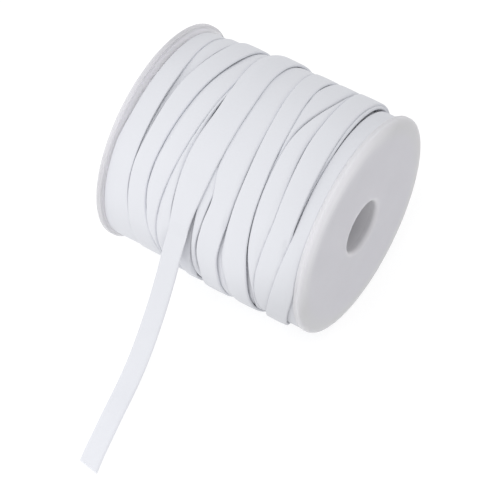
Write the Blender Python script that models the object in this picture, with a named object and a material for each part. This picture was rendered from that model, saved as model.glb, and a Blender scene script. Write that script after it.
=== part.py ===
"""A small white spool wound with narrow bias tape, one loose end lying out in front.

Run with: blender --background --python part.py

The spool lies on its side. The origin is on the surface it rests on, under the middle of
the spool, +X runs along the spool's axis to the flange that faces the viewer, -Y is the
side where the loose end comes down, and +Z is up.
"""

from collections import namedtuple
from math import cos, pi, radians, sin

import bmesh
import bpy
from mathutils import Vector

MM = 0.001

# Driving sizes of the spool, in millimetres
FLANGE_R = 35.0
FLANGE_RIM = 1.2          # straight part of the rim
FLANGE_ROUND = 1.2        # how far the soft outer edge bulges along the axis
FLANGE_ROUND_R = 7.0      # how far that soft edge reaches in from the rim
FLANGE_INNER_ROUND = 0.4
INNER_SPACING = 67.6      # between the inner faces of the two flanges
BORE_R = 8.3
BORE_MOUTH = 0.9          # rounding of the bore's mouth
TUBE_R = 10.5
FLAT_SPOT = 0.2           # how much of the round rim is taken off where it rests

# Driving sizes of the tape, in millimetres
TAPE_W = 6.35
TAPE_T = 1.0
SEAM_DEPTH = 0.9
SHOULDER = 0.9            # how far in from its seam a turn is at full height
SHOULDER_PART = 0.3       # the same as a part of a narrow turn's width
LEAST_TURN = 0.25         # what is left of a turn that has slipped under its neighbour
WINDING_CLEAR = 0.3       # the wound tape stays this far off the surface

GAP = 0.3                 # between pieces that meet
AXIS_Z = FLANGE_R - FLAT_SPOT
INNER_FACE = INNER_SPACING / 2.0
FLANGE_T = FLANGE_RIM + FLANGE_ROUND
WINDING_SIDE = INNER_FACE - GAP
WINDING_HOLE_R = TUBE_R + GAP

# Number of steps
FLANGE_STEPS = 64
TUBE_STEPS = 48
WINDING_STEPS = 72
EDGE_STEPS = 5

# The wound form. Angles run round the axis from the top (0) over the front (90) and under
# the roll (180) to the back (270). Every turn is a ring whose left seam wanders along the
# axis: the table gives where it lies at the seam angles, and how far out the turn is at the
# level angles. Where a turn slips under its neighbour its two seams run almost together.
SEAM_DEG = (-50, -20, 10, 40, 70, 100, 125, 175, 260)
LEVEL_DEG = (-50, 40, 125, 215)
Turn = namedtuple("Turn", "name seam level")
TURNS = (
    Turn("against_far_flange",
         (-33.5, -33.5, -33.5, -33.5, -33.5, -33.5, -33.5, -33.5, -33.5), (33.4, 33.5, 33.7, 33.5)),
    Turn("dives_under",
         (-28.6, -27.1, -25.5, -25.7, -25.6, -23.3, -23.0, -27.0, -28.0), (33.9, 33.0, 33.7, 33.9)),
    Turn("second",
         (-22.2, -22.0, -24.1, -25.3, -25.2, -22.9, -21.8, -21.5, -21.5), (34.0, 34.0, 34.1, 34.0)),
    Turn("third",
         (-15.0, -15.2, -17.1, -18.7, -19.3, -16.1, -14.0, -15.0, -15.0), (34.0, 34.2, 34.3, 34.2)),
    Turn("comes_from_under",
         (-11.8, -9.8, -9.4, -11.7, -14.5, -14.0, -13.0, -9.4, -9.4), (34.0, 34.4, 34.8, 34.2)),
    Turn("runs_out_to_loose_end",
         (-11.4, -9.4, -9.0, -10.3, -9.6, -8.6, -7.8, -8.8, -9.0), (35.8, 35.9, 35.9, 35.5)),
    Turn("beside_loose_end",
         (-2.0, -1.3, 0.1, 0.0, -2.0, -1.8, -0.8, -1.2, -1.2), (34.9, 35.0, 35.6, 35.0)),
    Turn("sixth",
         (-1.6, -0.9, 0.5, 1.4, 0.6, 1.2, 1.2, -0.8, -0.8), (34.8, 35.2, 35.8, 35.1)),
    Turn("seventh",
         (2.8, 4.9, 7.7, 9.2, 8.4, 8.9, 10.2, 6.0, 5.2), (35.2, 35.4, 35.8, 35.2)),
    Turn("pinched_out",
         (10.4, 11.7, 14.3, 15.3, 16.9, 18.2, 18.8, 13.5, 12.0), (35.4, 35.0, 35.0, 35.2)),
    Turn("eighth",
         (17.8, 18.5, 15.4, 15.7, 17.3, 18.6, 19.2, 18.8, 18.0), (35.4, 35.4, 35.0, 35.0)),
    Turn("ninth",
         (18.4, 20.2, 20.6, 22.2, 21.4, 20.2, 20.4, 20.0, 18.6), (35.4, 35.2, 34.9, 35.0)),
    Turn("last_crosses_over",
         (25.9, 27.4, 28.2, 28.9, 27.7, 24.7, 21.7, 24.5, 25.8), (33.4, 33.5, 35.7, 34.2)),
    Turn("against_near_flange",
         (32.8, 33.0, 33.0, 33.0, 32.9, 31.5, 28.2, 31.5, 32.6), (33.0, 33.2, 33.6, 33.3)),
)

# The turn that runs out lifts off the roll at this angle and lies on it again behind
LOOSE_TURN = "runs_out_to_loose_end"
LIFT_OFF_DEG = 70
LIES_AGAIN_DEG = (175, 235)
LIFT_OFF_DROP = 1.3

# Centre line of the loose end from where it leaves the roll, x, y, z in millimetres:
# down off the front, round on to the surface and along it to the cut end
LOOSE_ROUTE = (
    (-6.2, -34.4, 43.4), (-6.4, -35.5, 39.0), (-6.6, -36.9, 34.6), (-6.7, -38.6, 30.2),
    (-6.7, -40.6, 25.9), (-6.7, -42.9, 21.7), (-6.6, -45.5, 17.6), (-6.5, -48.4, 13.6),
    (-6.3, -51.6, 9.9), (-6.0, -55.1, 6.6), (-5.6, -58.9, 3.9), (-5.1, -62.9, 1.9),
    (-4.4, -67.2, 0.8), (-3.5, -71.5, 0.56), (-2.6, -75.8, 0.56), (-1.6, -80.1, 0.56),
    (-0.6, -84.4, 0.56), (0.4, -88.7, 0.56), (1.3, -92.3, 0.56), (2.2, -95.5, 0.56),
)
LOOSE_SLANT = 0.22        # how far the tape's width is turned in plan where it lies flat
LOOSE_CUT = 0.5           # slope of the cut end, along the tape for each step across it
LOOSE_EDGE = 0.3          # rounding of the tape's long edges


def clear_scene():
    """Take every object out of the scene, without closing the file."""
    for obj in list(bpy.data.objects):
        bpy.data.objects.remove(obj, do_unlink=True)


def make_material(name, colour, roughness):
    """A Principled material with one colour."""
    material = bpy.data.materials.new(name)
    material.use_nodes = True
    shader = material.node_tree.nodes["Principled BSDF"]
    shader.inputs["Base Color"].default_value = (*colour, 1.0)
    shader.inputs["Roughness"].default_value = roughness
    shader.inputs["Metallic"].default_value = 0.0
    return material


def finish_object(name, bm, material, sharp_deg):
    """Turn a bmesh into a named object with smooth shading and its own material."""
    bmesh.ops.recalc_face_normals(bm, faces=bm.faces)
    mesh = bpy.data.meshes.new(name)
    bm.to_mesh(mesh)
    bm.free()
    mesh.materials.append(material)
    mesh.shade_smooth()
    mesh.set_sharp_from_angle(angle=radians(sharp_deg))
    obj = bpy.data.objects.new(name, mesh)
    bpy.context.scene.collection.objects.link(obj)
    return obj


def loft(bm, sections, close_ends):
    """Join equal closed sections in order; close_ends caps them, otherwise they form a ring."""
    rings = [[bm.verts.new(Vector(point) * MM) for point in section] for section in sections]
    count = len(rings[0])
    pairs = list(zip(rings, rings[1:]))
    if not close_ends:
        pairs.append((rings[-1], rings[0]))
    for ring, following in pairs:
        for i in range(count):
            j = (i + 1) % count
            bm.faces.new((ring[i], ring[j], following[j], following[i]))
    if close_ends:
        bm.faces.new(rings[0])
        bm.faces.new(reversed(rings[-1]))


def round_the_axis(section_at, steps, floor_z):
    """Sections of (x, radius) points placed round the spool's axis, none below floor_z."""
    sections = []
    for step in range(steps):
        degrees = 360.0 * step / steps
        turn = radians(degrees)
        sections.append([(x, -r * sin(turn), max(AXIS_Z + r * cos(turn), floor_z))
                         for x, r in section_at(degrees)])
    return sections


def flange_section():
    """One flange's section as (distance out from its inner face, radius)."""
    points = [(0.0, BORE_R), (0.0, FLANGE_R - FLANGE_INNER_ROUND),
              (FLANGE_INNER_ROUND, FLANGE_R), (FLANGE_RIM, FLANGE_R)]
    for step in range(1, EDGE_STEPS + 1):
        turn = pi / 2 * step / EDGE_STEPS
        points.append((FLANGE_RIM + FLANGE_ROUND * sin(turn),
                       FLANGE_R - FLANGE_ROUND_R * (1.0 - cos(turn))))
    mid_mouth = BORE_MOUTH * (1.0 - sin(pi / 4))
    points.append((FLANGE_T, BORE_R + BORE_MOUTH))
    points.append((FLANGE_T - mid_mouth, BORE_R + mid_mouth))
    points.append((FLANGE_T - BORE_MOUTH, BORE_R))
    return points


def spool_flange(name, side, material):
    """A thin round flange with a soft outer edge; side is -1 at the far end, 1 at the near."""
    section = [(side * (INNER_FACE + out), r) for out, r in flange_section()]
    bm = bmesh.new()
    loft(bm, round_the_axis(lambda degrees: section, FLANGE_STEPS, 0.0), close_ends=False)
    return finish_object(name, bm, material, sharp_deg=35)


def spool_tube(name, material):
    """The tube between the flanges that the tape is wound on."""
    half = INNER_FACE - GAP
    section = [(-half, BORE_R), (-half, TUBE_R), (half, TUBE_R), (half, BORE_R)]
    bm = bmesh.new()
    loft(bm, round_the_axis(lambda degrees: section, TUBE_STEPS, 0.0), close_ends=False)
    return finish_object(name, bm, material, sharp_deg=35)


def value_round(angles, values, degrees):
    """Smooth value at an angle, from values at a few angles once round the axis."""
    count = len(angles)
    degrees = (degrees - angles[0]) % 360.0 + angles[0]
    k = max(i for i in range(count) if angles[i] <= degrees)

    def angle(i):
        return angles[i % count] + 360.0 * (i // count)

    def slope(i):
        rise = values[(i + 1) % count] - values[(i - 1) % count]
        return rise / (angle(i + 1) - angle(i - 1))

    span = angle(k + 1) - angle(k)
    t = (degrees - angle(k)) / span
    start, end = values[k], values[(k + 1) % count]
    return (start * (2 * t**3 - 3 * t**2 + 1) + end * (3 * t**2 - 2 * t**3)
            + slope(k) * span * (t**3 - 2 * t**2 + t) + slope(k + 1) * span * (t**3 - t**2))


def turn_level(turn, degrees):
    """How far out a turn's face lies at an angle."""
    level = value_round(LEVEL_DEG, turn.level, degrees)
    if turn.name == LOOSE_TURN and degrees % 360.0 > LIFT_OFF_DEG:
        start, end = LIES_AGAIN_DEG
        back_on = min(max((degrees - start) / (end - start), 0.0), 1.0)
        level -= LIFT_OFF_DROP * (1.0 - back_on)
    return level


def winding_section(degrees):
    """The wound form's section: a flat top and two shoulders for each turn, a seam between."""
    seams = [value_round(SEAM_DEG, turn.seam, degrees) for turn in TURNS] + [WINDING_SIDE]
    for i in range(1, len(seams)):
        seams[i] = max(seams[i], seams[i - 1] + LEAST_TURN)
    seams[-1] = WINDING_SIDE
    for i in range(len(seams) - 2, 0, -1):
        seams[i] = min(seams[i], seams[i + 1] - LEAST_TURN)
    levels = [turn_level(turn, degrees) for turn in TURNS]
    points = []
    for i, level in enumerate(levels):
        width = seams[i + 1] - seams[i]
        before = i - 1 if i else 0
        narrow = min(width, seams[before + 1] - seams[before])
        depth = min(SEAM_DEPTH, narrow / 2)
        points.append((seams[i], min(level, levels[before]) - depth))
        shoulder = min(SHOULDER, width * SHOULDER_PART)
        points.append((seams[i] + shoulder, level))
        points.append((seams[i + 1] - shoulder, level))
    points.append((WINDING_SIDE, levels[-1] - SEAM_DEPTH / 2))
    points.append((WINDING_SIDE, WINDING_HOLE_R))
    points.append((-WINDING_SIDE, WINDING_HOLE_R))
    return points


def tape_winding(name, material):
    """All the wound turns as one solid, pressed level where the roll lies."""
    bm = bmesh.new()
    loft(bm, round_the_axis(winding_section, WINDING_STEPS, WINDING_CLEAR), close_ends=False)
    return finish_object(name, bm, material, sharp_deg=50)


def tape_section(centre, along, across, cut):
    """The tape's flat section with rounded edges, square to its direction but for the cut."""
    face = along.cross(across).normalized()
    half_w, half_t = TAPE_W / 2, TAPE_T / 2
    inner_w, inner_t = half_w - LOOSE_EDGE, half_t - LOOSE_EDGE
    outline = ((-inner_w, -half_t), (inner_w, -half_t), (half_w, -inner_t), (half_w, inner_t),
               (inner_w, half_t), (-inner_w, half_t), (-half_w, inner_t), (-half_w, -inner_t))
    return [centre + across * u + face * v + along * (cut * u) for u, v in outline]


def tape_loose_end(name, material):
    """The free end of the tape as a flat strip along its route."""
    route = [Vector(point) for point in LOOSE_ROUTE]
    last = len(route) - 1
    sections = []
    for i, centre in enumerate(route):
        along = (route[min(i + 1, last)] - route[max(i - 1, 0)]).normalized()
        across = Vector((1.0, LOOSE_SLANT * i / last, 0.0))
        across = (across - along * across.dot(along)).normalized()
        sections.append(tape_section(centre, along, across, LOOSE_CUT if i == last else 0.0))
    bm = bmesh.new()
    loft(bm, sections, close_ends=True)
    return finish_object(name, bm, material, sharp_deg=50)


def main():
    clear_scene()
    plastic = (0.80, 0.79, 0.80)
    cloth = (0.88, 0.89, 0.92)
    spool_flange("spool_flange_far", -1, make_material("far_flange_plastic", plastic, 0.4))
    spool_flange("spool_flange_near", 1, make_material("near_flange_plastic", plastic, 0.4))
    spool_tube("spool_tube", make_material("tube_plastic", plastic, 0.45))
    tape_winding("tape_winding", make_material("wound_tape", cloth, 0.9))
    tape_loose_end("tape_loose_end", make_material("loose_tape", cloth, 0.9))


main()
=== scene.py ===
"""Looks of the roll of bias tape: one long tape wound turn over turn on a milky plastic spool.

Design numbers are in millimetres and degrees. Angles run round the spool's axis from the
top (0) over the front (90) and under the roll (180) to the back (270). +X runs along the
axis to the flange that faces the camera.
"""

from collections import namedtuple
from math import cos, pi, radians, sin

import bpy
import numpy as np
from mathutils import Matrix, Vector


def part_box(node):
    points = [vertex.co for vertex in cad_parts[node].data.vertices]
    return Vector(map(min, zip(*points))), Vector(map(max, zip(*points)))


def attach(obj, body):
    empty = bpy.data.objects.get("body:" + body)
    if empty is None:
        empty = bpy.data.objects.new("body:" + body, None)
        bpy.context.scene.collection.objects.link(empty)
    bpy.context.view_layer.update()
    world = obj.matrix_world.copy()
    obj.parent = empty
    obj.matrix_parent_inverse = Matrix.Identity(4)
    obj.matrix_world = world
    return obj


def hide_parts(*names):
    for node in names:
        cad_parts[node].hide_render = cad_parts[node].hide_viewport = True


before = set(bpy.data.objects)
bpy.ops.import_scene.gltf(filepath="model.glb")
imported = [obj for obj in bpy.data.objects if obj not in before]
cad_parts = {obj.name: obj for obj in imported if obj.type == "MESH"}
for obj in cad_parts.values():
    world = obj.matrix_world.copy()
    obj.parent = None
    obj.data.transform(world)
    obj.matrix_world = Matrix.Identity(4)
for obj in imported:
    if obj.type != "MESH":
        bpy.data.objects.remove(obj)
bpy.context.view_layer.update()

MM = 0.001
UV_NAME = "size"          # a mesh's UV map, which holds real sizes

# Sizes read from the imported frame
NEAR_LOW, NEAR_HIGH = (np.array(corner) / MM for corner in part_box("spool_flange_near"))
TUBE_LOW, TUBE_HIGH = (np.array(corner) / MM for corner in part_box("spool_tube"))
FLANGE_R = (NEAR_HIGH[1] - NEAR_LOW[1]) / 2
AXIS_Z = NEAR_HIGH[2] - FLANGE_R
INNER_FACE = NEAR_LOW[0]
OUTER_FACE = NEAR_HIGH[0]
TUBE_R = (TUBE_HIGH[1] - TUBE_LOW[1]) / 2

# Flange and bore
FLANGE_STEPS = 192        # round the axis
FLANGE_RIM = 1.2          # thickness at the rim
FLANGE_ROUND_R = 7.0      # how far in from the rim its outer side is rounded
FLANGE_FLAT = 6.0         # width of the flat ring just inside that
OUTER_ROUND_STEPS = 20
INNER_ROUND = 0.15        # rounding of the rim's inner edge
INNER_ROUND_STEPS = 4
# Hollow of the inner side by the rim, as (distance out from the inner face, radius)
INNER_HOLLOW = ((0.0, 30.0), (-2.6, 32.45), (-1.8, 32.75), (-1.1, 33.25), (-0.55, 33.8),
                (-0.2, 34.3), (0.0, 34.75))
BORE_R = 8.3
BORE_MOUTH = 1.4          # rounding of the bore's mouth
BORE_MOUTH_STEPS = 8
BORE_PAINTED_LIGHT_REACH = 1.96         # how far out from the bore its painted light reaches
TUBE_STEPS = 128
TUBE_SEAM = 0.02          # the fine line between the tube and each flange

# Tape
TAPE_W = 6.35
TAPE_T = 1.0
TAPE_EDGE = 0.42          # rounding of its two long edges
TAPE_CROWN = 0.10         # how much fuller it is in the middle
FLOOR_CLEAR = 0.3         # what it keeps to the floor, to the flanges and to the tube
SIDE_CLEAR = 0.05
TUBE_CLEAR = 0.2

# Tones, as shares of red, green and blue. Of a pair, a surface wanders between the two.
CLOTH_TONES = ((0.715, 0.725, 0.765), (0.735, 0.745, 0.785))
PLASTIC_TONES = ((0.515, 0.51, 0.55), (0.565, 0.56, 0.60))
# Painted light: the hollow of the inner side is coloured lighter than the rest of the flange, where
# shade would fall
HOLLOW_PAINTED_LIGHT_TONE = (0.70, 0.695, 0.73)
HOLLOW_REACH = 0.6        # that tone is full this far in from the inner face
# Painted light: the bore is coloured lighter, well down inside it
BORE_PAINTED_LIGHT_TONE = (0.62, 0.615, 0.64)
# Painted light: the tube is coloured lighter, seen only down the bore
TUBE_PAINTED_LIGHT_TONE = (0.67, 0.665, 0.69)
FLOOR_TONE = (0.34, 0.34, 0.34)
WHITE = (1.0, 1.0, 1.0)

# How the tape's colour is scaled, as (direction, from, to, factor): it is unchanged up to the first
# distance along the direction, and this many times as light from the second one on. These are
# painted shade: the roll is painted darker to the right, lower down and most at its lower right
ROLL_PAINTED_SHADE = (
    ((1, 0, 0), 12.0, 32.0, 0.98),
    ((0, 0, 1), 44.0, 22.0, 0.95),
    ((1, 0, -1), -24.0, 4.0, 0.89),
)
# Painted light: the free end is coloured lighter towards its cut end on the floor
FREE_END_PAINTED_LIGHT = (((0, 1, 0), -38.0, -85.0, 1.13),)

# Painted light by the rim, standing in for light gathering in the milky plastic there: its share of
# the plastic's colour, as (radius, share)
RIM_PAINTED_LIGHT = ((27.5, 0.0), (29.0, 0.17), (31.0, 0.7), (32.5, 1.0), (34.3, 0.97), (35.0, 0.74))
# The painted rim light goes from the first of these tones to the second along a direction, up and
# towards the front where the light comes from, between two distances from the axis
RIM_PAINTED_LIGHT_TONES = ((0.53, 0.53, 0.545), (0.755, 0.75, 0.785))
RIM_LIGHT_WAY = (0.17, -0.545, 0.839)
RIM_LIGHT_REACH = (19.0, 39.0)

# What is the same all over a surface, by the shader's sockets, with its lengths in metres
CLOTH_LOOKS = {"Roughness": 0.9, "Sheen Weight": 0.12, "Sheen Roughness": 0.5,
               "Specular IOR Level": 0.2}
PLASTIC_LOOKS = {"Roughness": 0.42, "IOR": 1.49, "Subsurface Radius": (1.0, 0.97, 1.0),
                 "Subsurface Scale": 0.004}
TUBE_LOOKS = {"Roughness": 0.5}
FLOOR_LOOKS = {"Roughness": 0.9, "Emission Strength": 0.73}

# Noise behind the uneven tones and the fine grain, as (scale, detail)
CLOTH_NOISE = (90.0, 3.0)
PLASTIC_NOISE = (80.0, 4.0)
GRAIN_NOISE = (900.0, 2.0)

# The tape's threads, and how strongly and how deeply weave and grain stand out
THREADS = {"Scale": 340.0, "Distortion": 1.5, "Detail": 1.0}
WEAVE_RELIEF = (0.1, 0.06)
GRAIN_RELIEF = (0.05, 0.05)

# Floor and light. A light is (name, place, target, side, power), in metres and watts.
FLOOR_HALF = 3000.0       # half the floor's side
SURROUND = 0.79           # strength of the pale surround
LIGHTS = (
    ("key", (0.0, -0.34, 0.70), (0.0, 0.0, 0.03), 0.36, 1.17),
    ("low_left", (-0.17, -0.22, 0.16), (0.0, -0.02, 0.03), 0.15, 0.09),
)

# The camera, fitted to the outlines of both flanges and the bore
CAMERA_AZIMUTH = 32.73
CAMERA_ELEVATION = 50.65
CAMERA_DISTANCE = 857.6
CAMERA_SHIFT = (2.87, 21.78)     # the axis's middle, right of and above the frame's middle
FOCAL_PIXELS = 2865.2            # in the photograph's frame of 500 pixels
FRAME_PIXELS = 500
SENSOR_MM = 36.0
CLIP = (50.0, 20000.0)           # the nearest and the farthest that it sees

# How the turns lie. SEEN_DEG are the angles of the table's columns, from the top of the roll
# down its front. left and right are where a turn's two edges are along the axis, level is how
# far its face is from the axis at LEVEL_DEG, and edge is how round its edges are. An edge that
# lies under a neighbour is hidden.
SEEN_DEG = (-50, -20, 10, 40, 55, 70, 85, 100, 125)
LEVEL_DEG = (-50, -20, 10, 40, 80, 125, 215)
Turn = namedtuple("Turn", "name left right level edge", defaults=(TAPE_EDGE,))

# One tape, in the order in which it was wound. Behind the roll each turn runs on into the next.
WOUND = (
    Turn("first",
         (-32.6, -32.3, -32.0, -32.6, -33.5, -33.75, -33.75, -33.75, -33.75),
         (-28.4, -27.1, -25.8, -25.65, -25.75, -25.5, -24.55, -23.7, -22.9),
         (33.2, 33.3, 33.4, 33.5, 33.6, 33.8, 33.4), 0.25),
    Turn("second",
         (-21.8, -21.8, -23.6, -24.7, -25.5, -25.25, -24.5, -23.9, -23.2),
         (-14.9, -15.1, -17.1, -18.7, -19.4, -19.2, -17.8, -16.0, -13.5),
         (34.6, 34.2, 34.1, 34.1, 34.1, 34.1, 34.0)),
    Turn("third",
         (-15.6, -15.9, -17.7, -19.3, -20.0, -20.0, -19.0, -17.8, -15.9),
         (-8.5, -8.7, -9.8, -11.6, -12.7, -13.8, -14.2, -13.6, -12.4),
         (34.0, 34.2, 35.2, 35.3, 35.0, 34.6, 34.4)),
    Turn("fourth",
         (-9.0, -9.0, -12.5, -15.0, -16.4, -17.2, -17.6, -17.0, -15.6),
         (-5.0, -6.5, -9.05, -9.45, -9.6, -9.3, -8.4, -8.2, -7.6),
         (34.4, 34.4, 35.1, 35.2, 35.2, 35.0, 34.6)),
    Turn("fifth",
         (-4.5, -4.0, -3.8, -2.4, -1.9, -1.6, -1.8, -1.9, -2.2),
         (1.5, 1.8, 2.4, 3.0, 2.0, 1.0, -0.1, 0.1, 0.3),
         (34.5, 34.7, 34.8, 34.9, 34.7, 34.4, 34.4)),
    Turn("sixth",
         (-2.6, -2.0, -1.0, 0.2, 2.2, 1.3, 0.7, 1.4, 0.6),
         (4.2, 6.2, 8.1, 9.15, 9.2, 8.5, 7.7, 8.0, 7.9),
         (34.85, 35.0, 35.2, 35.4, 35.75, 35.95, 35.2)),
    Turn("seventh",
         (3.2, 5.3, 7.8, 9.3, 9.4, 9.0, 8.8, 10.0, 10.3),
         (10.2, 11.4, 13.95, 15.5, 16.05, 16.85, 17.9, 18.4, 18.4),
         (35.2, 35.3, 35.4, 35.5, 35.8, 35.95, 35.3)),
    Turn("eighth",
         (18.6, 18.9, 15.7, 15.6, 16.3, 17.1, 18.5, 19.5, 17.8),
         (24.5, 21.5, 20.8, 22.2, 22.7, 22.7, 22.6, 22.3, 22.0),
         (35.2, 35.2, 35.3, 35.3, 35.2, 35.1, 35.0)),
    Turn("ninth",
         (18.3, 20.2, 20.9, 22.2, 22.3, 21.4, 20.4, 20.0, 20.2),
         (25.9, 26.9, 28.15, 28.9, 29.1, 29.6, 29.2, 28.6, 27.5),
         (35.4, 35.4, 35.3, 35.2, 35.0, 34.9, 34.8)),
    Turn("tenth",
         (27.1, 27.95, 28.7, 29.05, 29.05, 28.1, 26.8, 25.0, 21.4),
         (33.7, 33.7, 33.7, 33.7, 33.7, 33.7, 33.7, 32.1, 28.6),
         (33.5, 33.6, 33.8, 33.9, 35.35, 35.9, 35.9)),
    Turn("loose",
         (-12.4, -10.8, -8.65, -9.9, -9.6, -9.1, -9.0, -9.0, -9.0),
         (-2.0, -1.4, 0.15, 0.05, -0.65, -1.9, -3.1, -3.1, -3.1),
         (35.85, 35.85, 35.85, 35.9, 35.9, 35.9, 36.0)),
)

# Turns of the layer below that still show between these, each closed on itself
BELOW = (
    Turn("below_far_flange",
         (-33.7,) * 9, (-28.0,) * 9, (28.4, 28.4, 28.4, 28.8, 31.5, 32.0, 31.0)),
    Turn("below_first_gap",
         (-28.6, -27.6, -28.0, -28.6, -29.0, -29.0, -29.0, -29.0, -29.0),
         (-21.8, -22.5, -23.95, -24.85, -23.6, -22.6, -22.6, -22.6, -22.6),
         (33.7, 33.2, 32.1, 32.5, 32.75, 32.9, 33.3)),
    Turn("below_loose_end",
         (-9.4, -9.0, -9.0, -9.0, -9.2, -9.4, -9.4, -9.0, -8.2),
         (-2.4, -2.0, -1.5, -1.2, -1.6, -2.0, -2.4, -2.6, -2.6),
         (33.9, 34.0, 34.1, 34.0, 33.5, 35.4, 34.4)),
    Turn("pinched_out",
         (9.6, 11.0, 12.6, 12.6, 14.0, 15.2, 15.5, 15.5, 15.5),
         (18.3, 18.5, 15.6, 17.0, 18.6, 20.0, 21.5, 21.5, 21.5),
         (35.2, 35.1, 35.1, 34.6, 33.8, 35.2, 34.6)),
    Turn("below_sixth",
         (3.0,) * 9, (12.0,) * 9, (33.0, 33.0, 33.0, 33.0, 34.1, 35.4, 35.0)),
    Turn("below_ninth",
         (22.0,) * 9,
         (26.6, 27.8, 28.65, 28.85, 28.8, 28.6, 28.2, 28.0, 28.0),
         (34.8, 34.8, 34.6, 34.2, 33.9, 33.9, 34.0)),
    Turn("below_near_flange",
         (27.0,) * 9, (33.7,) * 9, (32.6, 32.6, 32.5, 32.6, 34.2, 34.7, 33.4)),
)

# Which turn lies over which, the outermost first
OUTERMOST_FIRST = (
    "loose", "tenth", "ninth", "seventh", "sixth", "eighth", "second", "third", "fifth",
    "first", "fourth", "below_ninth", "pinched_out", "below_sixth", "below_loose_end",
    "below_first_gap", "below_near_flange", "below_far_flange",
)

# How deep the turns below dip beside a turn's edge, in thicknesses of the tape, at some
# angles. Over 1 the edge stands free and a dark gap shows under it.
DIPS = {
    ("first", "left"): ((0, 0.5),),
    ("first", "right"): ((-20, 0.4), (30, 0.4), (45, 0.6), (58, 0.65), (70, 0.4), (85, 0.2),
                         (110, 0.1)),
    ("second", "left"): ((-40, 0.8), (-20, 1.1), (0, 1.1), (25, 0.7), (40, 0.65), (58, 0.55),
                         (72, 0.25), (100, 0.1)),
    ("second", "right"): ((-50, 1.1), (-30, 1.0), (-20, 1.5), (0, 1.3), (10, 1.1),
                          (40, 0.9), (65, 0.7), (80, 0.9), (110, 0.7)),
    ("third", "right"): ((20, 0.5), (50, 0.7), (65, 1.0), (80, 0.7), (95, 0.4), (110, 0.3)),
    ("loose", "left"): ((-20, 0.0), (0, 0.1), (5, 0.6), (10, 0.8), (20, 0.95), (36, 1.0),
                        (50, 0.85), (62, 0.6), (76, 0.5)),
    ("loose", "right"): ((-50, 1.2), (-20, 0.8), (30, 1.0), (65, 1.0), (76, 1.3)),
    ("fifth", "left"): ((45, 0.5), (65, 0.8), (80, 1.4), (95, 2.0), (110, 1.8)),
    ("sixth", "left"): ((45, 0.1), (60, 0.8), (80, 1.5), (110, 1.7)),
    ("sixth", "right"): ((50, 0.5), (65, 0.65), (80, 0.7), (105, 0.4), (118, 0.0)),
    ("seventh", "left"): ((-20, 0.5), (10, 0.6), (30, 0.9), (50, 0.9), (60, 0.5)),
    ("seventh", "right"): ((-45, 1.0), (-30, 1.0), (-22, 0.5), (10, 0.6), (18, 0.9), (23, 1.4),
                           (30, 0.9), (50, 0.8), (65, 0.75), (80, 0.9), (92, 0.4), (110, 0.25)),
    ("eighth", "left"): ((-50, 0.8), (-20, 1.3), (0, 1.1), (10, 0.8), (25, 0.7), (100, 0.8)),
    ("ninth", "left"): ((-20, 0.6), (10, 0.7), (30, 0.6), (42, 0.3), (50, 0.0), (110, 0.0)),
    ("ninth", "right"): ((-50, 0.5), (10, 0.6), (40, 0.7), (58, 0.5), (70, 0.2)),
    ("below_ninth", "right"): ((-50, 0.4), (-25, 0.6), (20, 0.75), (50, 0.6), (60, 0.4)),
    ("tenth", "left"): ((40, 0.3), (60, 0.05), (110, 0.0)),
}
DIP_USUAL = 0.6
DIP_WIDTH = 1.3           # how far from the edge such a dip reaches
DIP_POWER = 1.2           # how quickly it fades over that width
UNDERCUT = 2.0            # how far in under an edge a free gap reaches
LOWER_BY = 0.6            # a neighbour this much lower doesn't press a turn down
COVER_INSET = 0.08        # a cover starts to press this far in from its edge
COVER_GAP = 0.03          # between a turn and the one over it
COVER_SLACK = 0.05        # how far smoothing may lift a turn past that
NO_LIMIT = 1e3            # farther out than anything on the roll

# Where a turn's own edge sinks: turn, side, over what width, and how far at some angles
Droop = namedtuple("Droop", "name side width drops")
DROOPS = (
    Droop("loose", "left", 4.0, ((-50, 1.9), (-20, 1.5), (-5, 0.8), (6, 0.0))),
    Droop("loose", "left", 1.6, ((8, 0.1), (18, 0.8), (40, 0.8), (55, 0.4), (68, 0.0))),
    Droop("third", "left", 5.5, ((-50, 0.2), (-20, 1.5), (5, 1.8), (40, 0.9), (80, 0.5))),
    Droop("seventh", "left", 2.2, ((55, 0.0), (68, 0.8), (80, 1.2), (98, 1.2), (108, 0.6))),
    Droop("tenth", "right", 2.4, ((-50, -0.3), (-10, -0.9), (40, -0.8), (52, -0.1),
                                  (65, 0.45), (90, 0.5), (102, 0.0))),
    Droop("below_ninth", "right", 1.6, ((-50, 0.2), (10, 0.2), (50, 0.2))),
)
DROOP_POWER = 1.6         # how quickly that fades over the width

# Sampling of the wound turns. A turn's samples start at the back, where nothing shows.
TURN_STEPS = 210
TURN_START_DEG = -145.0
STEP_DEG = 360.0 / TURN_STEPS
LIFT_OFF_DEG = 76.0       # where the last turn leaves the roll as the loose end
BLUR_STEPS = 1.5          # smoothing along the tape
JOIN_STEPS = 12           # over these each turn's height runs on into the next one's

# Columns across the tape: the places round a long edge, the steps between the two edges, and
# which of the columns its underside has too
EDGE_DEG = (0.0, 25.0, 50.0, 70.0, 90.0)
FLAT_STEPS = 13
UNDERSIDE = (20, 18, 16, 14, 12, 9, 7, 5, 3, 1)

# Edges sharper than this many degrees show as such
TAPE_SHARP = 60.0
CORE_SHARP = 50.0
SPOOL_SHARP = 40.0

# Small irregularities of the tape: how far its edges and its level wander
EDGE_WANDER = 0.10
LEVEL_WANDER = 0.05
WANDER_WAVES = (2.3, 4.1, 7.7, 13.3)     # waves to a turn
WANDER_SUM = 1.6                         # about how high they reach together

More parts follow.
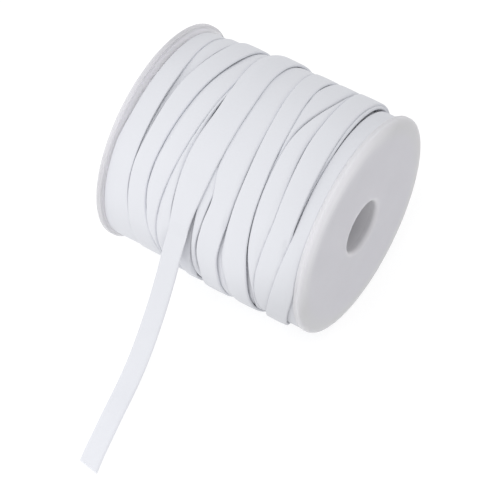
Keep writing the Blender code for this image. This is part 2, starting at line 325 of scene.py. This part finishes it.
# The layers below, a plain wound body, as (place along the axis, radius)
CORE_PROFILE = (
    (-33.6, 27.6), (-31.4, 27.6), (-29.0, 30.6), (-22.0, 31.0), (-18.0, 31.6), (-9.0, 32.6),
    (-2.0, 33.0), (10.0, 33.2), (20.0, 33.2), (26.0, 32.0), (30.0, 31.2), (33.6, 31.0),
)
CORE_STEPS = 180
CORE_COLUMNS = 140
CORE_PITCH = 6.6
CORE_SEAM = 0.35          # depth of its seams
CORE_SEAM_POWER = 0.35    # how narrow they are

# Centre line of the loose end, the same points as the CAD's: down off the front, round on
# to the surface and along it to the cut end
LOOSE_ROUTE = (
    (-6.2, -34.4, 43.4), (-6.4, -35.5, 39.0), (-6.6, -36.9, 34.6), (-6.7, -38.6, 30.2),
    (-6.7, -40.6, 25.9), (-6.7, -42.9, 21.7), (-6.6, -45.5, 17.6), (-6.5, -48.4, 13.6),
    (-6.3, -51.6, 9.9), (-6.0, -55.1, 6.6), (-5.6, -58.9, 3.9), (-5.1, -62.9, 1.9),
    (-4.4, -67.2, 0.8), (-3.5, -71.5, 0.56), (-2.6, -75.8, 0.56), (-1.6, -80.1, 0.56),
    (-0.6, -84.4, 0.56), (0.4, -88.7, 0.56), (1.3, -92.3, 0.56), (2.2, -95.5, 0.56),
)
LOOSE_STEPS = 8           # sections between two points of the route
LOOSE_SLANT = 0.22        # how far its width is turned in plan where it lies flat
LOOSE_CUT = 0.5           # slope of the cut end
LOOSE_START_W = 6.6       # width where it leaves the roll
LOOSE_SETTLE = 1 / 12     # share of its length over which that width settles
LOOSE_CUT_SHARE = 1 / 25  # share of its length that the slope of the cut takes up
JOIN_LENGTH = 16.0        # over this it takes on its own section


def smooth_curve(knots, values, at):
    """Values at some places from values at a few knots, with a smooth curve between."""
    knots = np.asarray(knots, float)
    values = np.asarray(values, float)
    slopes = np.gradient(values, knots)
    k = np.clip(np.searchsorted(knots, at, side="right") - 1, 0, len(knots) - 2)
    span = knots[k + 1] - knots[k]
    t = (at - knots[k]) / span
    return (values[k] * (2 * t**3 - 3 * t**2 + 1) + values[k + 1] * (3 * t**2 - 2 * t**3)
            + slopes[k] * span * (t**3 - 2 * t**2 + t) + slopes[k + 1] * span * (t**3 - t**2))


def blur_along(heights, sigma):
    """Heights blurred along the tape, which is the first axis."""
    reach = int(3 * sigma)
    offsets = np.arange(-reach, reach + 1)
    weights = np.exp(-0.5 * (offsets / sigma) ** 2)
    weights /= weights.sum()
    padded = np.pad(heights, ((reach, reach), (0, 0)), mode="edge")
    return sum(w * padded[i:i + len(heights)] for i, w in enumerate(weights))


def edge_columns():
    """Columns across the tape, as shares of (left edge, right edge, flat between them, fullness)."""
    columns = []
    rounding = [radians(degrees) for degrees in EDGE_DEG]
    for turn in rounding:
        columns.append((1.0 - cos(turn), 0.0, 0.0, sin(turn)))
    for step in range(1, FLAT_STEPS):
        columns.append((1.0, 0.0, step / FLAT_STEPS, 1.0))
    for turn in reversed(rounding):
        columns.append((1.0, cos(turn), 1.0, sin(turn)))
    return np.array(columns)


COLUMNS = edge_columns()
FULLNESS = COLUMNS[:, 3]


def across(left, right, rounding=TAPE_EDGE):
    """Places of the columns between a tape's two edges."""
    width = right - left
    edge = np.minimum(rounding, width / 3)
    flat = width - 2 * edge
    return (left[:, None] + edge[:, None] * (COLUMNS[:, 0] + COLUMNS[:, 1])
            + flat[:, None] * COLUMNS[:, 2])


def crown(place):
    """How much fuller the tape is at each column than at its edges."""
    half = (place[:, -1:] - place[:, :1]) / 2
    middle = (place[:, -1:] + place[:, :1]) / 2
    return TAPE_CROWN * (1 - ((place - middle) / half) ** 2)


def wander(angle, seed, size):
    """A small smooth irregularity along a tape, the same each time for the same seed."""
    rng = np.random.default_rng(seed)
    total = np.zeros_like(angle)
    for waves in WANDER_WAVES:
        total += np.sin(np.radians(angle) * waves + rng.uniform(0, 2 * pi)) / waves**0.5
    return size * total / WANDER_SUM


def turn_angles():
    """The angles of one turn's samples."""
    return TURN_START_DEG + STEP_DEG * np.arange(TURN_STEPS)


def wound_angles():
    """The angles of all the wound turns' samples, 360 degrees on with each turn."""
    return np.concatenate([360.0 * k + turn_angles() for k in range(len(WOUND))])


def running_curve(degrees, rows, at):
    """A smooth curve through each turn's row of values, one turn after another."""
    knots = np.concatenate([360.0 * k + np.array(degrees, float) for k in range(len(rows))])
    curve = smooth_curve(knots, np.concatenate(rows), at)
    curve[at < knots[0]] = rows[0][0]
    return curve


def closed_curve(degrees, row, at):
    """A smooth curve through one turn's row of values, whose end meets its start."""
    knots = np.concatenate([360.0 * k + np.array(degrees, float) for k in (-1, 0, 1)])
    return smooth_curve(knots, np.tile(row, 3), at)


def lay_wound():
    """The wound tape's left edge, right edge and level at every sample, cut into its turns."""
    at = wound_angles()
    left = running_curve(SEEN_DEG, [turn.left for turn in WOUND], at)
    right = running_curve(SEEN_DEG, [turn.right for turn in WOUND], at)
    level = running_curve(LEVEL_DEG, [turn.level for turn in WOUND], at)
    left += wander(at, seed=11, size=EDGE_WANDER)
    right += wander(at, seed=12, size=EDGE_WANDER)
    level += wander(at, seed=13, size=LEVEL_WANDER)
    parts = [slice(k * TURN_STEPS, (k + 1) * TURN_STEPS) for k in range(len(WOUND))]
    return {turn.name: (left[part], right[part], level[part]) for turn, part in zip(WOUND, parts)}


def lay_below():
    """The same for the turns below."""
    laid = {}
    for turn in BELOW:
        rows = ((SEEN_DEG, turn.left), (SEEN_DEG, turn.right), (LEVEL_DEG, turn.level))
        laid[turn.name] = [closed_curve(degrees, row, turn_angles()) for degrees, row in rows]
    return laid


def lay_edges():
    """Left edge, right edge and level of every turn by its name, kept between the flanges."""
    limit = INNER_FACE - SIDE_CLEAR
    laid = {}
    for name, (left, right, level) in {**lay_wound(), **lay_below()}.items():
        left = np.clip(left, -limit, limit)
        right = np.maximum(np.clip(right, -limit, limit), left + 3 * TAPE_EDGE)
        laid[name] = left, right, level
    return laid


def floor_limit(angles):
    """How far out the tape may lie at an angle, for the roll to lie level. Only what faces
    down at least a little can reach the floor."""
    facing_down = np.cos(np.radians(angles - 180.0))
    least = 0.2
    reach = (AXIS_Z - FLOOR_CLEAR) / np.maximum(facing_down, least)
    return np.where(facing_down > least, reach, NO_LIMIT)


def sink_edges(name, place, height, angles):
    """Lowers a turn's height where its own edges sink."""
    for droop in DROOPS:
        if droop.name != name:
            continue
        drop = np.interp(angles, *zip(*droop.drops))[:, None]
        inward = place - place[:, :1] if droop.side == "left" else place[:, -1:] - place
        height = height - drop * np.clip(1 - inward / droop.width, 0, 1) ** DROOP_POWER
    return height


def dip_depth(name, side, angles):
    """How deep the turns below dip beside this edge, at each angle."""
    return np.interp(angles, *zip(*DIPS.get((name, side), ((0, DIP_USUAL),))))


def limit_under(name, cover_place, cover_height, place, height, angles):
    """How high a turn's middle may be at each column for the cover of this name to lie on it.
    Beside the cover it dips, but not where the cover is much the lower of the two."""
    limit = np.full_like(place, NO_LIMIT)
    left_dip = dip_depth(name, "left", angles)
    right_dip = dip_depth(name, "right", angles)
    for i, angle in enumerate(angles):
        if name == "loose" and LIFT_OFF_DEG < angle:
            break
        here, row = place[i], cover_place[i]
        left_of = row[0] + COVER_INSET - here
        right_of = here - row[-1] + COVER_INSET
        if left_of.min() > DIP_WIDTH or right_of.min() > DIP_WIDTH:
            continue
        cover = np.interp(here, row, cover_height[i])
        depth = np.full_like(here, TAPE_T + COVER_GAP)
        for beyond, dip, edge in ((left_of, left_dip[i], 0), (right_of, right_dip[i], -1)):
            outside = beyond > 0
            lower = outside & (cover_height[i, edge] < height[i] - LOWER_BY)
            fade = np.clip(1 - beyond / DIP_WIDTH, 0, 1) ** DIP_POWER
            depth[outside] = (dip * TAPE_T * fade)[outside]
            depth[lower | (beyond > DIP_WIDTH)] = -NO_LIMIT
            gap = np.clip(1 + beyond / UNDERCUT, 0, 1) * max(dip - 1, 0) * TAPE_T
            depth[~outside] += gap[~outside]
        limit[i] = cover - depth
    return limit


def press_turns(laid):
    """Height of each turn's middle layer at every column, pressed down under what covers it."""
    angles = turn_angles()
    floor = floor_limit(angles)[:, None]
    rounding = {turn.name: turn.edge for turn in WOUND + BELOW}
    places, heights = {}, {}
    for rank, name in enumerate(OUTERMOST_FIRST):
        left, right, level = laid[name]
        place = across(left, right, rounding[name])
        height = np.minimum(level[:, None], floor - TAPE_CROWN) - TAPE_T / 2 + 0 * place
        height = sink_edges(name, place, height, angles)
        limit = np.full_like(place, NO_LIMIT)
        for upper in OUTERMOST_FIRST[:rank]:
            under = limit_under(upper, places[upper], heights[upper], place, height, angles)
            limit = np.minimum(limit, under)
        smooth = blur_along(np.minimum(height, limit), BLUR_STEPS)
        smooth[:, 1:-1] = (smooth[:, :-2] + 4 * smooth[:, 1:-1] + smooth[:, 2:]) / 6
        places[name] = place
        heights[name] = np.minimum(smooth, limit + COVER_SLACK)
    return places, heights


def join_turns(heights):
    """Lets the height of each wound turn run on smoothly into the next one's."""
    fade = (1.0 - np.arange(JOIN_STEPS) / JOIN_STEPS)[:, None] / 2
    for turn, following in zip(WOUND, WOUND[1:]):
        end, start = heights[turn.name], heights[following.name]
        jump = start[0] - end[-1]
        end[-JOIN_STEPS:] += jump * fade[::-1]
        start[:JOIN_STEPS] -= jump * fade


def round_axis(place, radius, angles):
    """Points at places along the axis and radii, at angles round it."""
    turn = np.radians(angles)[:, None]
    return np.stack([place, -radius * np.sin(turn), AXIS_Z + radius * np.cos(turn)], -1)


def tape_rings(place, height, angles):
    """The tape's closed section at each angle: its face, then its underside."""
    face = round_axis(place, height + TAPE_T / 2 * FULLNESS + crown(place), angles)
    under = round_axis(place, height - TAPE_T / 2 * FULLNESS, angles)
    return np.concatenate([face, under[:, UNDERSIDE]], axis=1)


def distances(points):
    """How far each point lies along a line of points."""
    steps = np.linalg.norm(np.diff(points, axis=0), axis=1)
    return np.concatenate([[0.0], np.cumsum(steps)])


def loft(rings, closed, first):
    """Faces over rings of points, whose vertices count from first on, and their corners' UV
    places: the distance round the first ring and the distance along."""
    count, size = rings.shape[:2]
    u = distances(np.append(rings[0], rings[0][:1], axis=0))
    v = distances(rings[:, size // 4])
    v = np.append(v, v[-1] + np.diff(v).mean())
    faces, places = [], []
    for i in range(count if closed else count - 1):
        here = first + i * size
        ahead = first + (i + 1) % count * size
        for j in range(size):
            k = (j + 1) % size
            faces.append((here + j, ahead + j, ahead + k, here + k))
            places.extend(((u[j], v[i]), (u[j], v[i + 1]), (u[j + 1], v[i + 1]), (u[j + 1], v[i])))
    if not closed:
        last = first + (count - 1) * size
        faces.append(tuple(range(first, first + size)))
        places.extend((u[j], v[0]) for j in range(size))
        faces.append(tuple(reversed(range(last, last + size))))
        places.extend((u[j], v[count - 1]) for j in reversed(range(size)))
    return faces, places


def build_mesh(name, parts, sharp_deg):
    """One object from lofted parts. A part is (rings in millimetres, closed along)."""
    verts, faces, places = [], [], []
    for rings, closed in parts:
        more_faces, more_places = loft(rings, closed, len(verts))
        verts.extend(map(tuple, (rings * MM).reshape(-1, 3)))
        faces.extend(more_faces)
        places.extend(more_places)
    mesh = bpy.data.meshes.new(name)
    mesh.from_pydata(verts, [], faces)
    layer = mesh.uv_layers.new(name=UV_NAME)
    layer.data.foreach_set("uv", np.array(places).ravel() * MM)
    if signed_volume(mesh) < 0:
        mesh.flip_normals()
    mesh.shade_smooth()
    mesh.set_sharp_from_angle(angle=radians(sharp_deg))
    obj = bpy.data.objects.new(name, mesh)
    bpy.context.scene.collection.objects.link(obj)
    return obj


def signed_volume(mesh):
    """Volume inside a mesh's faces, negative where they point inwards."""
    total = 0.0
    for face in mesh.polygons:
        first, *others = (mesh.vertices[i].co for i in face.vertices)
        for second, third in zip(others, others[1:]):
            total += first.dot(second.cross(third))
    return total / 6


def dress(obj, material, slot, *nodes):
    """Gives a piece its material and its body, and hides the CAD nodes that it stands for. Its slot
    is not used.
    """
    obj.data.materials.append(material)
    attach(obj, "root")
    if nodes:
        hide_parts(*nodes)


def make_camera():
    """The camera at the photograph's viewpoint."""
    azimuth, elevation = radians(CAMERA_AZIMUTH), radians(CAMERA_ELEVATION)
    back = Vector((sin(azimuth) * cos(elevation), -cos(azimuth) * cos(elevation), sin(elevation)))
    right = Vector((cos(azimuth), sin(azimuth), 0.0))
    up = back.cross(right)
    place = back * CAMERA_DISTANCE - right * CAMERA_SHIFT[0] - up * CAMERA_SHIFT[1]
    place.z += AXIS_Z
    data = bpy.data.cameras.new("camera")
    data.sensor_width = SENSOR_MM
    data.lens = FOCAL_PIXELS * SENSOR_MM / FRAME_PIXELS
    data.clip_start, data.clip_end = CLIP[0] * MM, CLIP[1] * MM
    camera = bpy.data.objects.new("camera", data)
    turn = Matrix((right, up, back)).transposed()
    camera.matrix_world = Matrix.Translation(place * MM) @ turn.to_4x4()
    bpy.context.scene.collection.objects.link(camera)
    bpy.context.scene.camera = camera


def route_points():
    """The loose end's centre line, read closely from a smooth curve through its route."""
    route = np.array(LOOSE_ROUTE)
    steps = np.arange(len(route), dtype=float)
    fine = np.linspace(0, len(route) - 1, (len(route) - 1) * LOOSE_STEPS + 1)
    points = np.stack([smooth_curve(steps, route[:, axis], fine) for axis in range(3)], -1)
    points[:, 2] = np.maximum(points[:, 2], route[-1, 2])
    return points


def loose_rings(centre):
    """Sections of the loose end along its centre line, with a slanted cut at its end."""
    count = len(centre)
    part = np.linspace(0.0, 1.0, count)
    along = np.gradient(centre, axis=0)
    along /= np.linalg.norm(along, axis=1)[:, None]
    wide = np.stack([np.ones(count), LOOSE_SLANT * part, np.zeros(count)], -1)
    wide -= along * (wide * along).sum(1)[:, None]
    wide /= np.linalg.norm(wide, axis=1)[:, None]
    out = np.cross(wide, along)
    half = (TAPE_W + (LOOSE_START_W - TAPE_W) * np.clip(1 - part / LOOSE_SETTLE, 0, 1)) / 2
    place = across(-half, half)
    face = TAPE_T / 2 * FULLNESS + crown(place)
    under = (-TAPE_T / 2 * FULLNESS + 0 * place)[:, UNDERSIDE]
    sideways = np.concatenate([place, place[:, UNDERSIDE]], axis=1)
    outward = np.concatenate([face, under], axis=1)
    near_end = np.clip(1 - (1 - part) / LOOSE_CUT_SHARE, 0, 1)
    lengthways = LOOSE_CUT * sideways * near_end[:, None]
    return (centre[:, None] + wide[:, None] * sideways[..., None]
            + out[:, None] * outward[..., None] + along[:, None] * lengthways[..., None])


def make_loose_end(material, last_ring):
    """The free end of the tape, a flat limp cord as wide as the tape, off the last turn's end."""
    centre = route_points()
    rings = loose_rings(centre)
    gone = np.linalg.norm(centre - centre[0], axis=1)
    fade = np.clip(1 - gone / JOIN_LENGTH, 0, 1) ** 2
    rings += (last_ring - rings[0])[None] * fade[:, None, None]
    piece = build_mesh("tape_free_end", [(rings, False)], TAPE_SHARP)
    dress(piece, material, "tape", "tape_loose_end")


def make_turns(material):
    """Every wound turn of the tape, and the turns below that still show. Gives back the wound
    tape's last section, where the loose end goes on."""
    angles = turn_angles()
    places, heights = press_turns(lay_edges())
    join_turns(heights)
    place = np.concatenate([places[t.name] for t in WOUND])
    height = np.concatenate([heights[t.name] for t in WOUND])
    whole = wound_angles()
    wound = whole <= 360.0 * (len(WOUND) - 1) + LIFT_OFF_DEG
    rings = tape_rings(place[wound], height[wound], whole[wound])
    turns = build_mesh("tape_turns", [(rings, False)], TAPE_SHARP)
    dress(turns, material, "tape", "tape_winding")
    below = [(tape_rings(places[t.name], heights[t.name], angles), True) for t in BELOW]
    dress(build_mesh("tape_turns_below", below, TAPE_SHARP), material, "tape")
    return rings[-1]


def make_core(material):
    """The layers further in, as one wound body with its seams."""
    angles = np.arange(CORE_STEPS) * 360.0 / CORE_STEPS
    line = np.linspace(-INNER_FACE + SIDE_CLEAR, INNER_FACE - SIDE_CLEAR, CORE_COLUMNS)
    radius = np.interp(line, *np.array(CORE_PROFILE).T)[None, :].repeat(CORE_STEPS, 0)
    phase = pi * (line[None, :] / CORE_PITCH + angles[:, None] / 360.0)
    radius -= CORE_SEAM * (1 - np.abs(np.sin(phase)) ** CORE_SEAM_POWER)
    radius = np.minimum(radius, floor_limit(angles)[:, None] - TAPE_T)
    outer = round_axis(line[None, :].repeat(CORE_STEPS, 0), radius, angles)
    ends = np.array([[line[-1], line[0]]]).repeat(CORE_STEPS, 0)
    inner = round_axis(ends, np.full((CORE_STEPS, 2), TUBE_R + TUBE_CLEAR), angles)
    rings = np.concatenate([outer, inner], axis=1)
    dress(build_mesh("tape_inner_layers", [(rings, True)], CORE_SHARP), material, "tape")


def quarter_turn(steps, first=0):
    """Angles through a quarter turn in even steps, from the first of them on."""
    return [pi / 2 * step / steps for step in range(first, steps + 1)]


def flange_profile():
    """One flange's section as (distance out from its inner face, radius)."""
    thick = OUTER_FACE - INNER_FACE
    bulge = thick - FLANGE_RIM
    points = [(0.0, BORE_R), *INNER_HOLLOW, (0.0, FLANGE_R - INNER_ROUND)]
    for turn in quarter_turn(INNER_ROUND_STEPS, first=1):
        points.append((INNER_ROUND * (1 - cos(turn)), FLANGE_R - INNER_ROUND * (1 - sin(turn))))
    for turn in quarter_turn(OUTER_ROUND_STEPS):
        points.append((FLANGE_RIM + bulge * sin(turn), FLANGE_R - FLANGE_ROUND_R * (1 - cos(turn))))
    points.append((thick, FLANGE_R - FLANGE_ROUND_R - FLANGE_FLAT))
    for turn in quarter_turn(BORE_MOUTH_STEPS):
        points.append((thick - BORE_MOUTH * (1 - cos(turn)), BORE_R + BORE_MOUTH * (1 - sin(turn))))
    return np.array(points)


def lathe(name, profile, steps):
    """A closed (place, radius) outline turned round the spool's axis, level where it lies."""
    angles = np.arange(steps) * 360.0 / steps
    place, radius = profile.T[:, None, :].repeat(steps, 1)
    rings = round_axis(place, radius, angles)
    rings[..., 2] = np.maximum(rings[..., 2], 0.0)
    return build_mesh(name, [(rings, True)], SPOOL_SHARP)


def make_spool(plastic, tube_plastic):
    """Both flanges and the tube between them."""
    for side, name, node in ((-1, "flange_far", "spool_flange_far"),
                             (1, "flange_near", "spool_flange_near")):
        profile = flange_profile()
        profile[:, 0] = side * (INNER_FACE + profile[:, 0])
        dress(lathe(name, profile, FLANGE_STEPS), plastic, "spool_plastic", node)
    low, high = TUBE_SEAM - INNER_FACE, INNER_FACE - TUBE_SEAM
    section = np.array([(low, BORE_R), (low, TUBE_R), (high, TUBE_R), (high, BORE_R)])
    dress(lathe("tube", section, TUBE_STEPS), tube_plastic, "spool_plastic", "spool_tube")


def set_inputs(tree, node, inputs):
    """Gives a node's inputs their values, or a link where it is another node's output."""
    for socket, given in inputs.items():
        if isinstance(given, bpy.types.NodeSocket):
            tree.links.new(given, node.inputs[socket])
        else:
            node.inputs[socket].default_value = given


def add_node(tree, kind, inputs, **settings):
    """A new node with these settings and inputs."""
    node = tree.nodes.new(kind)
    for name, setting in settings.items():
        setattr(node, name, setting)
    set_inputs(tree, node, inputs)
    return node


def new_material(name, looks):
    """A node material with these looks: (material, its node tree, its Principled shader)."""
    material = bpy.data.materials.new(name)
    material.use_nodes = True
    tree = material.node_tree
    shader = tree.nodes["Principled BSDF"]
    set_inputs(tree, shader, looks)
    return material, tree, shader


def rgba(tone):
    """A tone as an opaque colour."""
    return (*tone, 1.0)


def object_place(tree):
    """Where a point of the object is."""
    return add_node(tree, "ShaderNodeTexCoord", {}).outputs["Object"]


def distance_along(tree, place, direction):
    """How far a place is along a direction."""
    inputs = {0: place, 1: direction}
    return add_node(tree, "ShaderNodeVectorMath", inputs, operation="DOT_PRODUCT").outputs["Value"]


def map_range(tree, value, start, end, change=(0.0, 1.0), way="LINEAR"):
    """Goes through a change as a distance goes from start to end, which are in millimetres."""
    inputs = {"Value": value, "From Min": start * MM, "From Max": end * MM,
              "To Min": change[0], "To Max": change[1]}
    return add_node(tree, "ShaderNodeMapRange", inputs, interpolation_type=way).outputs["Result"]


def mix(tree, share, first, second):
    """The first colour where the share is 0 and the second where it is 1."""
    inputs = {"Factor": share, "A": first, "B": second}
    return add_node(tree, "ShaderNodeMix", inputs, data_type="RGBA").outputs["Result"]


def noise(tree, place, scale, detail):
    """An even noise over the object."""
    inputs = {"Vector": place, "Scale": scale, "Detail": detail}
    return add_node(tree, "ShaderNodeTexNoise", inputs).outputs["Fac"]


def uneven_tone(tree, place, scale_and_detail, tones):
    """A colour that wanders between two tones."""
    ramp = add_node(tree, "ShaderNodeValToRGB", {"Fac": noise(tree, place, *scale_and_detail)})
    for stop, tone in zip(ramp.color_ramp.elements, tones):
        stop.color = rgba(tone)
    return ramp.outputs["Color"]


def relief(tree, height, strength, depth):
    """A shading relief, its depth in millimetres."""
    inputs = {"Height": height, "Strength": strength, "Distance": depth * MM}
    return add_node(tree, "ShaderNodeBump", inputs).outputs["Normal"]


def weave_height(tree):
    """Height of a plain weave, threads along the tape times threads across it."""
    sizes = add_node(tree, "ShaderNodeUVMap", {}, uv_map=UV_NAME).outputs["UV"]
    threads = [
        add_node(tree, "ShaderNodeTexWave", {"Vector": sizes, **THREADS},
                 wave_type="BANDS", bands_direction=way).outputs["Fac"]
        for way in ("X", "Y")]
    crossed = dict(enumerate(threads))
    return add_node(tree, "ShaderNodeMath", crossed, operation="MULTIPLY").outputs["Value"]


def cloth_material(name, painted_light_and_shade):
    """Soft white tape: matt, finely woven, hardly uneven in tone, with painted light and shade
    scaled into its colour along some directions.
    """
    material, tree, shader = new_material(name, CLOTH_LOOKS)
    place = object_place(tree)
    colour = uneven_tone(tree, place, CLOTH_NOISE, CLOTH_TONES)
    # Painted light and shade: the colour is scaled darker or lighter along each direction
    for direction, start, end, factor in painted_light_and_shade:
        along = distance_along(tree, place, direction)
        change = map_range(tree, along, start, end, (1.0, factor), "SMOOTHSTEP")
        scaled = add_node(tree, "ShaderNodeVectorMath", {0: colour, "Scale": change},
                          operation="SCALE")
        colour = scaled.outputs["Vector"]
    weave = relief(tree, weave_height(tree), *WEAVE_RELIEF)
    set_inputs(tree, shader, {"Base Color": colour, "Normal": weave})
    return material


def tube_material():
    """The tube's plainer plastic, coloured lighter than the flanges: painted light well down inside
    the bore.
    """
    looks = {**TUBE_LOOKS, "Base Color": rgba(TUBE_PAINTED_LIGHT_TONE)}
    return new_material("tube_plastic", looks)[0]


def place_on_axis(tree, place):
    """A place's distance from the spool's middle along the axis, and its radius from the axis."""
    parts = add_node(tree, "ShaderNodeSeparateXYZ", {"Vector": place}).outputs
    sideways = add_node(tree, "ShaderNodeMath", {0: parts["X"]}, operation="ABSOLUTE")
    rise = add_node(tree, "ShaderNodeMath", {0: parts["Z"], 1: AXIS_Z * MM}, operation="SUBTRACT")
    out = add_node(tree, "ShaderNodeCombineXYZ", {"X": parts["Y"], "Y": rise.outputs["Value"]})
    radius = add_node(tree, "ShaderNodeVectorMath", {0: out.outputs["Vector"]}, operation="LENGTH")
    return sideways.outputs["Value"], radius.outputs["Value"]


def painted_rim_light_share(tree, radius):
    """How much of the painted rim light the plastic's colour has at a radius."""
    inner, outer = RIM_PAINTED_LIGHT[0][0], RIM_PAINTED_LIGHT[-1][0]
    band = add_node(tree, "ShaderNodeValToRGB", {"Fac": map_range(tree, radius, inner, outer)})
    band.color_ramp.interpolation = "EASE"
    stops = band.color_ramp.elements
    for at, _ in RIM_PAINTED_LIGHT[1:-1]:
        stops.new((at - inner) / (outer - inner))
    for stop, (_, share) in zip(stops, RIM_PAINTED_LIGHT):
        stop.color = rgba((share, share, share))
    return band.outputs["Color"]


def painted_rim_light(tree, place):
    """The painted rim light's tone, which goes from the first of its two to the second, lighter
    towards the lit side.
    """
    start, end = (RIM_LIGHT_WAY[2] * AXIS_Z + reach for reach in RIM_LIGHT_REACH)
    lit = map_range(tree, distance_along(tree, place, RIM_LIGHT_WAY), start, end)
    return mix(tree, lit, *map(rgba, RIM_PAINTED_LIGHT_TONES))


def plastic_material():
    """Milky white moulded plastic, softly satin, a little light passing through, with painted light
    in its colour by the rim, in the hollow of the inner side and down the bore.
    """
    material, tree, shader = new_material("milky_plastic", PLASTIC_LOOKS)
    place = object_place(tree)
    sideways, radius = place_on_axis(tree, place)
    hollow_painted_light = map_range(tree, sideways, INNER_FACE, INNER_FACE - HOLLOW_REACH, way="SMOOTHSTEP")
    bore_painted_light = map_range(tree, radius, BORE_R + BORE_PAINTED_LIGHT_REACH, BORE_R, way="SMOOTHSTEP")
    colour = uneven_tone(tree, place, PLASTIC_NOISE, PLASTIC_TONES)
    # Painted light by the rim, lighter towards the lit side
    colour = mix(tree, painted_rim_light_share(tree, radius), colour, painted_rim_light(tree, place))
    # Painted light in the hollow of the inner side
    colour = mix(tree, hollow_painted_light, colour, rgba(HOLLOW_PAINTED_LIGHT_TONE))
    # Painted light down the bore
    colour = mix(tree, bore_painted_light, colour, rgba(BORE_PAINTED_LIGHT_TONE))
    milky = map_range(tree, radius, BORE_R, BORE_R + BORE_MOUTH)
    grain = relief(tree, noise(tree, place, *GRAIN_NOISE), *GRAIN_RELIEF)
    set_inputs(tree, shader, {"Base Color": colour, "Subsurface Weight": milky, "Normal": grain})
    return material


def make_floor():
    """A plain pale floor."""
    half = FLOOR_HALF * MM
    corners = [(-half, -half, 0), (half, -half, 0), (half, half, 0), (-half, half, 0)]
    mesh = bpy.data.meshes.new("floor")
    mesh.from_pydata(corners, [], [(0, 1, 2, 3)])
    floor = bpy.data.objects.new("floor", mesh)
    bpy.context.scene.collection.objects.link(floor)
    looks = {**FLOOR_LOOKS, "Base Color": rgba(FLOOR_TONE), "Emission Color": rgba(WHITE)}
    mesh.materials.append(new_material("pale_floor", looks)[0])


def area_light(name, place, target, side, power):
    """A square soft light at a place, aimed at a target."""
    data = bpy.data.lights.new(name, "AREA")
    data.shape = "SQUARE"
    data.size = side
    data.energy = power
    light = bpy.data.objects.new(name, data)
    light.location = place
    aim = Vector(target) - Vector(place)
    light.rotation_mode = "QUATERNION"
    light.rotation_quaternion = aim.to_track_quat("-Z", "Y")
    bpy.context.scene.collection.objects.link(light)


def make_light():
    """Plain soft studio light: a pale surround, a broad key above, a little from low left."""
    world = bpy.data.worlds.new("studio")
    world.use_nodes = True
    background = world.node_tree.nodes["Background"]
    background.inputs["Color"].default_value = rgba(WHITE)
    background.inputs["Strength"].default_value = SURROUND
    bpy.context.scene.world = world
    for light in LIGHTS:
        area_light(*light)
    bpy.context.scene.view_settings.view_transform = "Standard"


make_camera()
cloth = cloth_material("tape_cloth_painted_shade", ROLL_PAINTED_SHADE)
last_ring = make_turns(cloth)
make_loose_end(cloth_material("tape_free_end_painted_light", FREE_END_PAINTED_LIGHT), last_ring)
make_core(cloth)
make_spool(plastic_material(), tube_material())
make_floor()
make_light()
